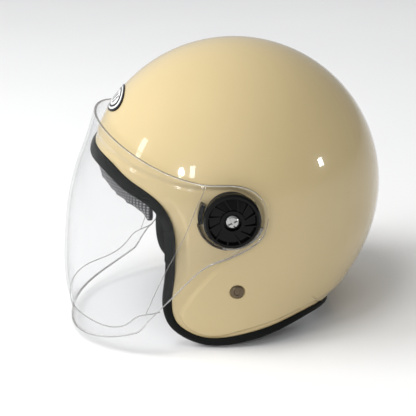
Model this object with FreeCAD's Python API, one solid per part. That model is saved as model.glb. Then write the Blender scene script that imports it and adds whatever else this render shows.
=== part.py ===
import FreeCAD, Part
import math
import os

# Open-face motorcycle helmet with a clear swing-up visor. Lengths are in millimetres.
# +X is the wearer's left, -Y the front and +Z up. Outlines are drawn in side view as
# (y, z) points about the centre of the shell, and everything moves up onto the ground
# at export.

V = FreeCAD.Vector

# ---- overall size of the shell -------------------------------------------------
HALF_WIDTH = 118.0          # centre to the side of the shell
HALF_LENGTH = 133.5         # centre to the front, rear and crown
LOWER_FULLNESS = 1.0        # how much the lower sides fill out
CHEEK_REACH = 24.0          # how far the cheeks' curve runs on past the opening
CHEEK_FROM, CHEEK_TO = 165.0, 300.0     # degrees about X, rear 0 and crown 90
CENTRE_UP = 118.0           # height of the shell's centre above the ground
CENTRE_BACK = 13.3          # centre of the shell behind the middle of the whole part

# ---- layers, measured outward from the shell's raised face ---------------------
RAISED = 0.0
RECESS = -1.8               # face under the visor and along the rim
SHELL_INSIDE = -5.8
TRIM_WALL = 2.5
FOAM_OUTSIDE = SHELL_INSIDE - 0.2
FOAM_INSIDE = -30.0
LINER_GAP = 0.3
CROWN_LINER = 8.0
CHEEK_PAD = 16.0
NECK_ROLL = 12.0
BROW_DROP = 14.0            # mesh pad hanging below the shell's brow

# ---- edge of the shell: (y, z, width of the rubber trim) -----------------------
EDGE = [(-150, 46, 9.5), (-128, 45, 9.5), (-120, 43, 9.5), (-111, 38.5, 9.5),
        (-101, 31.5, 9), (-87, 24.5, 8), (-75.5, 17, 7), (-68, 5, 6.8),
        (-66, -10, 6.8), (-67.2, -27, 6.8), (-70.2, -51, 6.8), (-72.6, -64, 6.8),
        (-73.7, -77.5, 6.8), (-72.6, -88, 6.8), (-69, -97.5, 6.8), (-62, -105.2, 6.8),
        (-52, -111.3, 6.8), (-40, -114.8, 6.8), (-27, -115, 6.8), (-10, -112.6, 6.8),
        (15, -107.9, 6.8), (38, -103, 6.8), (52, -101, 6.8), (62, -101.7, 6.8),
        (68.5, -104.7, 6.8), (72.5, -111, 6.8), (76, -119, 6.8)]
TRIM_LIP = 2.3              # trim beyond the shell's edge
BEHIND = 200.0              # beyond the rear of every layer
SLEEVE_LOW, SLEEVE_HIGH = -30.0, -2.0   # joining sleeve on the left side

# ---- raised panel of the shell, as (y, z) --------------------------------------
PANEL = [(-150, 66), (-130, 64), (-112.4, 58.4), (-99, 54.2), (-88.6, 49.5), (-71, 43.4),
         (-50.3, 38), (-30, 35.4), (-10, 34.5), (6, 28.5), (14.5, 17), (15.5, 3),
         (9.5, -9.5), (-3, -18.5), (-14, -26), (-23, -35.4), (-38, -51.3), (-49, -64.6),
         (-56, -75.6), (-59.7, -84), (-59.5, -90), (-56.8, -95.5), (-51.5, -100.5),
         (-44, -104.3), (-36, -106), (-28, -105.6), (-18, -103.4), (4.7, -98.2),
         (25.4, -94.5), (47, -90.3), (70, -88.5), (100, -87.5), (150, -87)]

# ---- pivots of the visor -------------------------------------------------------
PIVOT_Y, PIVOT_Z = -11.0, 9.0
BOSS_RADIUS = 14.6
TURN_GAP = 0.6              # play around the visor's ears
CAP_RADIUS = 24.0
BASE_RADIUS = 22.0
SCREW_RADIUS = 2.4
SCREW_HEAD = 6.4
VANES = 12

# ---- visor ---------------------------------------------------------------------
VISOR_WALL = 2.2
EAR_X = 120.3               # middle of the ears' thickness at the pivots
EAR_TAPER = 7.0
FLAT_RADIUS = 27.0
VISOR_FRONT = [(100, -110.5), (79, -118.5), (52, -129.5), (34, -138), (16, -145),
               (-3, -150.8), (-22, -154.8), (-51, -159), (-71, -160.3), (-92, -158),
               (-103, -156.5), (-111, -158), (-126, -163)]
VISOR_TOP = [(-175, 92), (-135, 84.5), (-119, 80), (-108, 74), (-88, 62.5),
             (-62, 50), (-45, 43.8), (-30, 40.5)]
VISOR_EAR = [(-30, 40.5), (-8, 38.5), (7, 33), (16.5, 22), (19.5, 7), (14, -9),
             (-3, -21), (-23, -28.5), (-34.5, -33)]
VISOR_LOW = [(-34.5, -33), (-43, -39), (-59.5, -55), (-76, -71.5), (-88, -83.5),
             (-94, -91.5)]
VISOR_LIP = [(-98, -95.5), (-108, -99.5), (-124, -104.8), (-142, -109.3),
             (-158, -113), (-175, -116)]

# ---- chin strap ----------------------------------------------------------------
RIVET_Y, RIVET_Z = -10.3, -61.3
RIVET_FLOOR = 108.9         # bottom of the rivet's pocket in the shell
RIVET_HEAD = 5.6
RIVET_SHANK = 2.9
ANCHOR_X = 98.5
STRAP_WIDTH = 25.0
STRAP_WALL = 1.6
STRAP_CLEAR_Z = -88.0        # foam ends here above the strap's way in
STRAP_PATH = [(97.6, -76.5), (91.5, -90), (84, -99.3), (75, -104.6), (62, -107),
              (45, -106), (30, -103.5)]
BUCKLE_Z = -102.0
BUCKLE_WIDTH = 30.0

# ---- badge ---------------------------------------------------------------------
BADGE_HALF_WIDTH = 27.0
BADGE_HALF_HEIGHT = 12.5
BADGE_TILT = 42.4           # degrees above the horizon, seen from the centre

os.makedirs("parts", exist_ok=True)


# ---- curved layers -------------------------------------------------------------
def base_point(side, turn):
    """Point of the shell's raised face, turned about X; side runs from +X to -X."""
    share = (math.degrees(turn) % 360 - CHEEK_FROM) / (CHEEK_TO - CHEEK_FROM)
    length = HALF_LENGTH
    if 0 < share < 1:
        length += CHEEK_REACH * math.sin(math.pi * share) ** 2
    y = length * math.sin(side) * math.cos(turn)
    z = length * math.sin(side) * math.sin(turn)
    fuller = 1 + LOWER_FULLNESS * max(0.0, -z / length) ** 4
    return V(HALF_WIDTH * math.cos(side) * fuller, y, z)


def layer_point(side, turn, out):
    """The same point moved outward along the surface normal."""
    step = 1e-4
    side = min(max(side, 2 * step), math.pi - 2 * step)
    along = base_point(side + step, turn) - base_point(side - step, turn)
    around = base_point(side, turn + step) - base_point(side, turn - step)
    normal = along.cross(around)
    normal.normalize()
    here = base_point(side, turn)
    if normal.dot(here) < 0:
        normal = normal * -1
    return here + normal * out


def egg(out, rows=24, columns=36):
    """Closed solid inside the layer that lies `out` beyond the raised face."""
    grid = []
    for i in range(rows + 1):
        side = math.pi * i / rows
        if i in (0, rows):
            tip = V((HALF_WIDTH + out) * (1 if i == 0 else -1), 0, 0)
            grid.append([tip] * (columns + 1))
            continue
        ring = [layer_point(side, -2.0 + 2 * math.pi * j / columns, out)
                for j in range(columns)]
        grid.append(ring + [ring[0]])
    surface = Part.BSplineSurface()
    surface.interpolate(grid)
    surface.setVPeriodic()
    return Part.Solid(Part.Shell([surface.toShape()]))


def layer(outside, inside):
    return egg(outside).cut(egg(inside))


# ---- side-view outlines --------------------------------------------------------
def flat(y, z, x=-200.0):
    return V(x, y, z)


def spline(points, x=-200.0):
    curve = Part.BSplineCurve()
    curve.interpolate([flat(y, z, x) for y, z in points])
    return curve.toShape()


def straight(points, x=-200.0):
    return [Part.makeLine(flat(*a, x), flat(*b, x)) for a, b in zip(points, points[1:])]


def prism(edges, x=-200.0, depth=400.0):
    face = Part.Face(Part.Wire(Part.__sortEdges__(edges)))
    return face.extrude(V(depth, 0, 0))


def edge_line(distance):
    """The shell's edge moved towards the shell; None moves it to the trim's border."""
    curve = Part.BSplineCurve()
    curve.interpolate([flat(y, z) for y, z, _ in EDGE])
    moved = []
    for y, z, width in EDGE:
        tangent = curve.tangent(curve.parameter(flat(y, z)))[0]
        by = width if distance is None else distance
        moved.append((y - tangent.z * by, z + tangent.y * by))
    return moved


def above(line, top=210.0):
    """Everything above a line that runs from front to rear."""
    first, last = line[0], line[-1]
    border = straight([last, (BEHIND, last[1]), (BEHIND, top), (first[0], top), first])
    return prism([spline(line)] + border)


def block(x0, x1, y0, y1, z0, z1):
    return Part.makeBox(x1 - x0, y1 - y0, z1 - z0, V(x0, y0, z0))


def rod(radius, x0, x1, y, z):
    return Part.makeCylinder(radius, x1 - x0, V(x0, y, z), V(1, 0, 0))


def turned(profile, y, z):
    """Solid of revolution about an X axis; the profile lists (radius, x)."""
    corners = [V(x, y, z + radius) for radius, x in profile]
    face = Part.Face(Part.makePolygon(corners + [corners[0]]))
    return face.revolve(V(0, y, z), V(1, 0, 0), 360)


def mirrored(shape):
    return shape.mirror(V(0, 0, 0), V(1, 0, 0))


shapes = {}


def pair(name, shape):
    shapes[name + "_left"] = shape
    shapes[name + "_right"] = mirrored(shape)


# ---- shell, trim and badge -----------------------------------------------------
inside_egg = egg(SHELL_INSIDE)
keep = above(edge_line(0))
core = egg(RECESS).cut(inside_egg).common(keep)
raised = egg(RAISED).cut(egg(RECESS - 0.5)).common(above(PANEL))
shell = core.fuse(raised)
for side in (1, -1):
    pocket = rod(RIVET_HEAD + 1.0, RIVET_FLOOR, 130, RIVET_Y, RIVET_Z)
    hole = rod(RIVET_SHANK + 0.1, 90, 130, RIVET_Y, RIVET_Z)
    screw_hole = rod(SCREW_RADIUS + 0.3, 90, 130, PIVOT_Y, PIVOT_Z)
    cuts = [pocket, hole, screw_hole]
    shell = shell.cut(cuts if side == 1 else [mirrored(c) for c in cuts])
shapes["outer_shell"] = shell

trim_layer = layer(RECESS + TRIM_WALL, SHELL_INSIDE - TRIM_WALL)
trim_band = above(edge_line(-TRIM_LIP)).cut(above(edge_line(None)))
trim = trim_layer.common(trim_band).cut(core)
sleeve_zone = block(0, 200, -90, -40, SLEEVE_LOW, SLEEVE_HIGH)
sleeve_layer = layer(RECESS + TRIM_WALL + 0.9, RECESS + TRIM_WALL + 0.05)
sleeve_band = above(edge_line(-TRIM_LIP)).cut(above(edge_line(5.5)))
shapes["trim_sleeve"] = sleeve_layer.common(sleeve_band).common(sleeve_zone)
shapes["edge_trim"] = trim

tilt = math.radians(BADGE_TILT)
outward = V(0, -math.cos(tilt), math.sin(tilt))
oval = Part.Ellipse(V(0, 0, 0), BADGE_HALF_WIDTH, BADGE_HALF_HEIGHT).toShape()
oval = Part.Face(Part.Wire(oval)).extrude(V(0, 0, 60))
oval.rotate(V(0, 0, 0), V(1, 0, 0), 90 - BADGE_TILT)
oval.translate(outward * 100)
shapes["front_badge"] = layer(RAISED + 0.9, RAISED + 0.1).common(oval)

# ---- foam and soft lining ------------------------------------------------------
foam = above(edge_line(11.0)).common(egg(FOAM_OUTSIDE)).cut(egg(FOAM_INSIDE))
for x0, x1 in ((40, 200), (-200, -40)):
    strap_space = block(x0, x1, -45, 25, -125, -42).cut(egg(FOAM_INSIDE + 10))
    foam = foam.cut([strap_space, block(x0, x1, -45, 25, -125, STRAP_CLEAR_Z)])
for side in (1, -1):
    nut_space = rod(10, 98, 120, PIVOT_Y, PIVOT_Z)
    foam = foam.cut(nut_space if side == 1 else mirrored(nut_space))
shapes["eps_liner"] = foam

crown_layer = layer(FOAM_INSIDE - LINER_GAP, FOAM_INSIDE - LINER_GAP - CROWN_LINER)
shapes["crown_liner"] = crown_layer.common(block(-200, 200, -88, 150, 24, 200))
brow_layer = layer(SHELL_INSIDE - TRIM_WALL - LINER_GAP, FOAM_INSIDE)
brow_band = above(edge_line(-BROW_DROP)).cut(above(edge_line(10.6)))
shapes["brow_pad"] = brow_layer.common(brow_band).common(block(-200, 200, -200, -76, 0, 90))
cheek_zone = block(50, 200, -80, -3, -97, 6).common(above(edge_line(8.0)))
lining_face = egg(FOAM_INSIDE - LINER_GAP)
pad_face = lining_face.copy()
pad_face.translate(V(-CHEEK_PAD, 0, 0))
pair("cheek_pad", cheek_zone.common(lining_face).cut(pad_face))
neck_layer = layer(FOAM_INSIDE - LINER_GAP, FOAM_INSIDE - LINER_GAP - NECK_ROLL)
neck_zone = above(edge_line(10.0)).common(block(-200, 200, 26, 150, -112, -40))
shapes["neck_roll"] = neck_layer.common(neck_zone)

# ---- visor ---------------------------------------------------------------------
front_curve = Part.BSplineCurve()
front_curve.interpolate([V(0, y, z) for z, y in VISOR_FRONT])


def smooth(t):
    t = min(max(t, 0.0), 1.0)
    return t * t * (3 - 2 * t)


def visor_front(z):
    """How far forward of the pivots the visor reaches at this height."""
    cut = Part.Plane(V(0, 0, z), V(0, 0, 1)).toShape(-400, 400, -400, 400)
    meeting = front_curve.toShape().section(cut).Vertexes[0].Point
    return PIVOT_Y - meeting.y


def visor_base(turn, z, reach):
    """Middle surface; turn is 0 at the front and 90 degrees at the pivots."""
    half = EAR_X - EAR_TAPER * smooth(abs(z - PIVOT_Z) / 90.0)
    power = 2.0 + 0.35 * smooth((50.0 - z) / 70.0)
    across = (abs(math.sin(turn)) / half) ** power
    along = (max(0.0, math.cos(turn)) / reach) ** power
    radius = (across + along) ** (-1 / power)
    x, y = radius * math.sin(turn), PIVOT_Y - radius * math.cos(turn)
    flatten = 1 - smooth((math.hypot(y - PIVOT_Y, z - PIVOT_Z) - FLAT_RADIUS) / 18.0)
    if abs(math.sin(turn)) > 0.5:
        x = x + (math.copysign(EAR_X, x) - x) * flatten
    return V(x, y, z)


heights = [100 - 225.0 * i / 30 for i in range(31)]
turns = [math.radians(-112 + 224.0 * j / 44) for j in range(45)]
reaches = [visor_front(z) for z in heights]
middle = [[visor_base(t, z, r) for t in turns] for z, r in zip(heights, reaches)]


def visor_sheet(out):
    grid = []
    for i, row in enumerate(middle):
        moved = []
        for j, here in enumerate(row):
            down = middle[min(i + 1, 30)][j] - middle[max(i - 1, 0)][j]
            round_ = row[min(j + 1, 44)] - row[max(j - 1, 0)]
            normal = down.cross(round_)
            normal.normalize()
            if normal.dot(here - V(0, PIVOT_Y + 60, here.z)) < 0:
                normal = normal * -1
            moved.append(here + normal * out)
        grid.append(moved)
    surface = Part.BSplineSurface()
    surface.interpolate(grid)
    return surface.toShape()


outer, inner = visor_sheet(VISOR_WALL / 2), visor_sheet(-VISOR_WALL / 2)
walls = []
for a in outer.Edges:
    middle_point = a.valueAt((a.FirstParameter + a.LastParameter) / 2)
    b = min(inner.Edges, key=lambda e: (e.valueAt((e.FirstParameter + e.LastParameter) / 2)
                                        - middle_point).Length)
    walls.append(Part.makeRuledSurface(a, b))
visor_shell = Part.makeShell([outer, inner] + walls)
visor_shell.sewShape()
blank = Part.Solid(visor_shell)
outline = [spline(VISOR_TOP), spline(VISOR_EAR), spline(VISOR_LOW), spline(VISOR_LIP)]
outline += straight([VISOR_LOW[-1], VISOR_LIP[0]]) + straight([VISOR_LIP[-1], VISOR_TOP[0]])
visor = blank.common(prism(outline))
visor_hole = rod(BOSS_RADIUS + TURN_GAP, -200, 200, PIVOT_Y, PIVOT_Z)
shapes["visor"] = visor.cut(visor_hole)

# ---- pivots --------------------------------------------------------------------
ear_in, ear_out = EAR_X - VISOR_WALL / 2, EAR_X + VISOR_WALL / 2
base_top = ear_in - TURN_GAP
cap_low = ear_out + TURN_GAP
seat = cap_low + 1.4
base = rod(BASE_RADIUS, 108, base_top, PIVOT_Y, PIVOT_Z).cut(egg(RECESS))
base = base.fuse(rod(BOSS_RADIUS, 117, seat, PIVOT_Y, PIVOT_Z))
base = base.cut(rod(SCREW_RADIUS + 0.2, 100, 140, PIVOT_Y, PIVOT_Z))
pair("pivot_base", base)

well = seat + 2.0
cap = turned([(SCREW_RADIUS + 0.2, seat), (BOSS_RADIUS + 0.3, seat),
              (BOSS_RADIUS + 0.3, cap_low), (CAP_RADIUS, cap_low),
              (CAP_RADIUS, cap_low + 3.6), (CAP_RADIUS - 1.6, cap_low + 5.8),
              (CAP_RADIUS - 3.6, cap_low + 5.8), (CAP_RADIUS - 5.0, cap_low + 3.0),
              (10.6, cap_low + 4.4), (10.2, cap_low + 6.6), (SCREW_HEAD + 1.0, cap_low + 6.6),
              (SCREW_HEAD + 0.6, well), (SCREW_RADIUS + 0.2, well)], PIVOT_Y, PIVOT_Z)
vane = block(cap_low + 2.6, cap_low + 5.4, 10.0, CAP_RADIUS - 3.2, -0.6, 0.6)
vane.rotate(V(0, 10.0, 0), V(1, 0, 0), 28)
vane.translate(V(0, PIVOT_Y, PIVOT_Z))
for i in range(VANES):
    blade = vane.copy()
    blade.rotate(V(0, PIVOT_Y, PIVOT_Z), V(1, 0, 0), 360.0 * i / VANES)
    cap = cap.fuse(blade)
pair("pivot_cap", cap)

screw = turned([(0, 103.5), (SCREW_RADIUS, 103.5), (SCREW_RADIUS, well), (SCREW_HEAD, well),
                (SCREW_HEAD, well + 1.4), (SCREW_HEAD - 2.2, well + 3.0), (0, well + 3.4)],
               PIVOT_Y, PIVOT_Z)
for turn in (0, 90):
    slot = block(well + 1.2, well + 6, -4.2, 4.2, -0.8, 0.8)
    slot.rotate(V(0, 0, 0), V(1, 0, 0), turn + 20)
    slot.translate(V(0, PIVOT_Y, PIVOT_Z))
    screw = screw.cut(slot)
pair("pivot_screw", screw)

nut = rod(8, 108.2, 115, PIVOT_Y, PIVOT_Z).common(inside_egg)
nut = nut.fuse(rod(4, 102.5, 109, PIVOT_Y, PIVOT_Z))
pair("pivot_nut", nut.cut(rod(SCREW_RADIUS + 0.1, 95, 120, PIVOT_Y, PIVOT_Z)))

# ---- chin strap hardware on the shell ------------------------------------------
plate_in, plate_out = ANCHOR_X - 0.8, ANCHOR_X + 0.8
rivet = turned([(0, plate_in - 1.8), (5.0, plate_in - 1.8), (5.0, plate_in - 0.3),
                (RIVET_SHANK, plate_in - 0.3), (RIVET_SHANK, RIVET_FLOOR),
                (RIVET_HEAD, RIVET_FLOOR), (RIVET_HEAD, RIVET_FLOOR + 0.9),
                (RIVET_HEAD - 1.4, RIVET_FLOOR + 1.9), (RIVET_HEAD - 2.4, RIVET_FLOOR + 1.9),
                (RIVET_HEAD - 3.0, RIVET_FLOOR + 1.3), (0, RIVET_FLOOR + 1.3)],
               RIVET_Y, RIVET_Z)
pair("strap_rivet", rivet)
washer = rod(6.5, plate_out + 0.3, 112, RIVET_Y, RIVET_Z).common(inside_egg)
pair("rivet_washer", washer.cut(rod(RIVET_SHANK + 0.05, 90, 120, RIVET_Y, RIVET_Z)))

# ---- chin strap, buckled and tucked up inside the rim --------------------------
plate = block(plate_in, plate_out, -13, 13, -17, 7)
plate = plate.cut(rod(RIVET_SHANK + 0.4, 90, 110, 0, 0))
plate = plate.cut(block(90, 110, -10.5, 10.5, -13.6, -9.6))
plate.translate(V(0, RIVET_Y, RIVET_Z))
pair("strap_anchor", plate)


def ribbon(path, thickness, width, y):
    """Flat band of even thickness along a path of (x, z) points."""
    curve = Part.BSplineCurve()
    curve.interpolate([V(x, y - width / 2, z) for x, z in path])
    sides = []
    for offset in (thickness / 2, -thickness / 2):
        moved = []
        for x, z in path:
            here = V(x, y - width / 2, z)
            along = curve.tangent(curve.parameter(here))[0]
            moved.append(here + V(-along.z, 0, along.x) * offset)
        side_curve = Part.BSplineCurve()
        side_curve.interpolate(moved)
        sides.append((side_curve.toShape(), moved))
    ends = [Part.makeLine(sides[0][1][i], sides[1][1][i]) for i in (0, -1)]
    face = Part.Face(Part.Wire(Part.__sortEdges__([sides[0][0], sides[1][0]] + ends)))
    return face.extrude(V(0, width, 0))


strap = ribbon([(ANCHOR_X, RIVET_Z - 15.2)] + STRAP_PATH[1:], STRAP_WALL, STRAP_WIDTH, RIVET_Y)
loop = block(ANCHOR_X - 1.9, ANCHOR_X + 1.9, -10.2, 10.2, -18.6, -11.4)
loop = loop.cut(block(plate_in - 0.1, plate_out + 0.1, -11, 11, -17.1, -13.5))
loop.translate(V(0, RIVET_Y, RIVET_Z))
strap = strap.cut(block(ANCHOR_X - 3, ANCHOR_X + 3, -60, 60, RIVET_Z - 17.1, RIVET_Z))
pair("strap", strap.fuse(loop))

sleeve_path = [p for p in STRAP_PATH if 40 < p[0] < 90]
sleeve = ribbon(sleeve_path, 5.2, STRAP_WIDTH + 4, RIVET_Y)
pair("strap_sleeve", sleeve.cut(ribbon(STRAP_PATH, STRAP_WALL + 0.1, STRAP_WIDTH + 0.2, RIVET_Y)))

housing = block(-6, 32, -BUCKLE_WIDTH / 2, BUCKLE_WIDTH / 2, -5, 5)
housing = housing.cut(block(-8, 24, -12, 12, -2, 2)).cut(block(26, 40, -12.8, 12.8, -2.6, 1.0))
housing = housing.cut(block(-8, 27.5, -9.1, 9.1, -6, -1))
tongue = block(-22, 22, -11.5, 11.5, -1.2, 1.2)
for i in range(6):
    tongue = tongue.cut(block(-4 + 3 * i, -2.4 + 3 * i, -6, 6, -1.3, -0.5))
tongue = tongue.fuse(block(-32, -20, -15, 15, -3.2, 3.2))
tongue = tongue.cut(block(-40, -24, -12.8, 12.8, -2.6, 1.0))
lever = block(-8, 18, -8.6, 8.6, -8.4, -5.4).fuse(block(17.5, 25, -8.6, 5.2, -8.4, -3.6))
pin = Part.makeCylinder(1.4, BUCKLE_WIDTH, V(21.5, -BUCKLE_WIDTH / 2, -5.9), V(0, 1, 0))
lugs = [block(18, 25, s * 9.1 if s > 0 else -BUCKLE_WIDTH / 2, BUCKLE_WIDTH / 2 if s > 0 else -9.1,
              -8.4, -4.5) for s in (1, -1)]
housing = housing.fuse(lugs).cut(Part.makeCylinder(1.42, 40, V(21.5, -20, -5.9), V(0, 1, 0)))
lever = lever.cut(Part.makeCylinder(1.6, 40, V(21.5, -20, -5.9), V(0, 1, 0)))
tab = block(-24, -6.4, -6, 6, -7.6, -6.4)
lever = lever.cut(block(-9, -5.9, -6.2, 6.2, -7.8, -6.2))
coil = Part.makeCylinder(2.5, 3.1, V(21.5, 5.5, -5.9), V(0, 1, 0))
coil = coil.cut(Part.makeCylinder(1.7, 5, V(21.5, 5, -5.9), V(0, 1, 0)))
for name, shape in (("buckle_housing", housing), ("buckle_tongue", tongue),
                    ("buckle_lever", lever), ("lever_pin", pin), ("lever_spring", coil),
                    ("pull_tab", tab)):
    shape.translate(V(0, RIVET_Y, BUCKLE_Z))
    shapes[name] = shape

# ---- export --------------------------------------------------------------------
for name, shape in shapes.items():
    if len(shape.Solids) == 1:
        shape = shape.Solids[0]
    shape.translate(V(0, CENTRE_BACK, CENTRE_UP))
    shape.exportStep(os.path.join("parts", name + ".step"))
    shapes[name] = shape
    box = shape.BoundBox
    print("%-20s solids %d valid %s  x %.1f..%.1f y %.1f..%.1f z %.1f..%.1f" % (
        name, len(shape.Solids), shape.isValid(), box.XMin, box.XMax, box.YMin, box.YMax,
        box.ZMin, box.ZMax))
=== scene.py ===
import math

import bmesh
import bpy
import numpy as np
from mathutils import Matrix, Vector


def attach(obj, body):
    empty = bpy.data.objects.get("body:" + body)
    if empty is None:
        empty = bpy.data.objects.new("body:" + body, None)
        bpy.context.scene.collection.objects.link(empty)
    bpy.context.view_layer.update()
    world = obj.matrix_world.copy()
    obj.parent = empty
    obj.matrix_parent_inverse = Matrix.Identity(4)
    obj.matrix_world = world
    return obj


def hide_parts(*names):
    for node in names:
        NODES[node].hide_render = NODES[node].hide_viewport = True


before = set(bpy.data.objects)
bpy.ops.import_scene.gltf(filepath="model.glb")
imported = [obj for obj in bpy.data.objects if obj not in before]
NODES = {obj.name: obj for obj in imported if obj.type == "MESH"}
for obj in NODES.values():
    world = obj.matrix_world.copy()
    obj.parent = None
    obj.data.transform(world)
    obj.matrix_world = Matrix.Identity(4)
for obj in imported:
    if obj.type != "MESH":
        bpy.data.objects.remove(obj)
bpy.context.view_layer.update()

# Open-face helmet: the shell, trim, lining, badge and strap are rebuilt in fine detail
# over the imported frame, and the remaining frame nodes get finished materials.
# Outlines are side-view (y, z) points in millimetres about the centre of the shell.

MM = 0.001
CENTRE = np.array([0.0, 13.3, 118.0])

HALF_WIDTH, HALF_LENGTH = 118.0, 133.5
CHEEK_REACH, CHEEK_FROM, CHEEK_TO = 24.0, 165.0, 300.0
RAISED, RECESS, INSIDE = 0.0, -1.8, -5.8
EDGE = [(-150, 46), (-128, 45), (-120, 43), (-111, 38.5), (-101, 31.5), (-87, 24.5),
        (-75.5, 17), (-68, 5), (-66, -10), (-67.2, -27), (-70.2, -51), (-72.6, -64),
        (-73.7, -77.5), (-72.6, -88), (-69, -97.5), (-62, -105.2), (-52, -111.3),
        (-40, -114.8), (-27, -115), (-10, -112.6), (15, -107.9), (38, -103), (52, -101),
        (62, -101.7), (68.5, -104.7), (72.5, -111), (76, -119)]
PANEL = [(-150, 66), (-130, 64), (-112.4, 58.4), (-99, 54.2), (-88.6, 49.5), (-71, 43.4),
         (-50.3, 38), (-30, 35.4), (-10, 34.5), (6, 28.5), (14.5, 17), (15.5, 3),
         (9.5, -9.5), (-3, -18.5), (-14, -26), (-23, -35.4), (-38, -51.3), (-49, -64.6),
         (-56, -75.6), (-59.7, -84), (-59.5, -90), (-56.8, -95.5), (-51.5, -100.5),
         (-44, -104.3), (-36, -106), (-28, -105.6), (-18, -103.4), (4.7, -98.2),
         (25.4, -94.5), (47, -90.3), (70, -88.5), (100, -87.5), (150, -87)]
PIVOT = (-11.0, 9.0)
RIVET = (-10.3, -61.3)
RIVET_FLOOR = 108.9

VISOR_WALL, EAR_X, EAR_TAPER, FLAT_RADIUS = 2.2, 120.3, 7.0, 27.0
PIVOT_HOLE = 15.2
VISOR_FRONT = [(-110.5, 100), (-118.5, 79), (-129.5, 52), (-138, 34), (-145, 16),
               (-150.8, -3), (-154.8, -22), (-159, -51), (-160.3, -71), (-158, -92),
               (-156.5, -103), (-158, -111), (-163, -126)]
VISOR_UPPER = [(-175, 92), (-135, 84.5), (-119, 80), (-108, 74), (-88, 62.5), (-62, 50),
               (-45, 43.8), (-30, 40.5), (-8, 38.5), (7, 33), (16.5, 22), (19.5, 7)]
VISOR_LOWER = [(19.5, 7), (14, -9), (-3, -21), (-23, -28.5), (-34.5, -33), (-43, -39),
               (-59.5, -55), (-76, -71.5), (-88, -83.5), (-94, -91.5)]
VISOR_LIP = [(-98, -95.5), (-108, -99.5), (-124, -104.8), (-142, -109.3), (-158, -113),
             (-175, -116)]
FOLD = [(-30, 39.2), (-35.2, 28.7), (-40.9, 17.8), (-51.1, -4.5), (-60.4, -20.9),
        (-74.4, -46.6), (-89, -77)]
LIP_FOLD = [(-175, -92), (-146, -91.6), (-119.6, -93.5), (-106, -88), (-95.1, -79.2),
            (-83.3, -76.2), (-76, -74)]

BADGE_HALF_WIDTH, BADGE_HALF_HEIGHT, BADGE_TILT = 27.0, 12.5, 42.4

ANCHOR_X, STRAP_WIDTH, STRAP_WALL, BUCKLE_Z = 98.5, 25.0, 1.6, -102.0
STRAP_PATH = [(98.3, -75.5), (91.5, -90), (84, -99.3), (75, -104.6), (62, -107),
              (45, -106), (30, -103.5)]


# ---- small numeric helpers -----------------------------------------------------
def smooth(t):
    t = np.clip(t, 0.0, 1.0)
    return t * t * (3 - 2 * t)


def spline(points, per_span=24):
    """Natural cubic curve through the points, sampled evenly within each span."""
    p = np.array(points, float)
    u = np.concatenate([[0], np.cumsum(np.linalg.norm(np.diff(p, axis=0), axis=1))])
    h = np.diff(u)
    n = len(p)
    a, b = np.zeros((n, n)), np.zeros_like(p)
    a[0, 0] = a[-1, -1] = 1
    for i in range(1, n - 1):
        a[i, i - 1:i + 2] = h[i - 1], 2 * (h[i - 1] + h[i]), h[i]
        b[i] = 6 * ((p[i + 1] - p[i]) / h[i] - (p[i] - p[i - 1]) / h[i - 1])
    m = np.linalg.solve(a, b)
    out = []
    for i in range(n - 1):
        t = np.linspace(0, h[i], per_span, endpoint=i == n - 2)[:, None]
        s = h[i] - t
        out.append(m[i] * s ** 3 / (6 * h[i]) + m[i + 1] * t ** 3 / (6 * h[i])
                   + (p[i] / h[i] - m[i] * h[i] / 6) * s
                   + (p[i + 1] / h[i] - m[i + 1] * h[i] / 6) * t)
    return np.concatenate(out)


def signed_distance(y, z, line):
    """Distance to a line that runs front to rear, positive above it."""
    flat = np.stack([np.ravel(y), np.ravel(z)], -1)
    a, d = line[:-1], np.diff(line, axis=0)
    out = np.empty(len(flat))
    for k in range(0, len(flat), 4000):
        q = flat[k:k + 4000, None] - a
        t = np.clip((q * d).sum(-1) / (d * d).sum(-1), 0, 1)
        gap = q - t[..., None] * d
        far = np.linalg.norm(gap, axis=-1)
        best = far.argmin(1)
        row = np.arange(len(best))
        turn = d[best, 0] * q[row, best, 1] - d[best, 1] * q[row, best, 0]
        out[k:k + 4000] = far[row, best] * np.sign(turn)
    return out.reshape(np.shape(y))


# ---- the shell's curved surface ------------------------------------------------
def base_point(side, turn):
    share = (np.degrees(turn) % 360 - CHEEK_FROM) / (CHEEK_TO - CHEEK_FROM)
    bulge = np.where((share > 0) & (share < 1), np.sin(math.pi * share) ** 2, 0)
    length = HALF_LENGTH + CHEEK_REACH * bulge
    y = length * np.sin(side) * np.cos(turn)
    z = length * np.sin(side) * np.sin(turn)
    fuller = 1 + np.maximum(0, -z / length) ** 4
    return np.stack([HALF_WIDTH * np.cos(side) * fuller, y, z], -1)


def on_surface(y, z, out=0.0):
    """Point of the left side over (y, z), moved outward by `out`, and its normal."""
    turn = np.arctan2(z, y)
    share = (np.degrees(turn) % 360 - CHEEK_FROM) / (CHEEK_TO - CHEEK_FROM)
    bulge = np.where((share > 0) & (share < 1), np.sin(math.pi * share) ** 2, 0)
    reach = np.hypot(y, z) / (HALF_LENGTH + CHEEK_REACH * bulge)
    side = np.arcsin(np.clip(reach, 2e-4, 1))
    e = 1e-4
    along = base_point(side + e, turn) - base_point(side - e, turn)
    around = base_point(side, turn + e) - base_point(side, turn - e)
    normal = np.cross(along, around)
    normal /= np.linalg.norm(normal, axis=-1, keepdims=True)
    here = base_point(side, turn)
    normal *= np.sign((normal * here).sum(-1, keepdims=True))
    return here + normal * np.asarray(out)[..., None], normal


EDGE_LINE = spline(EDGE)
PANEL_LINE = spline(PANEL)


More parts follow.
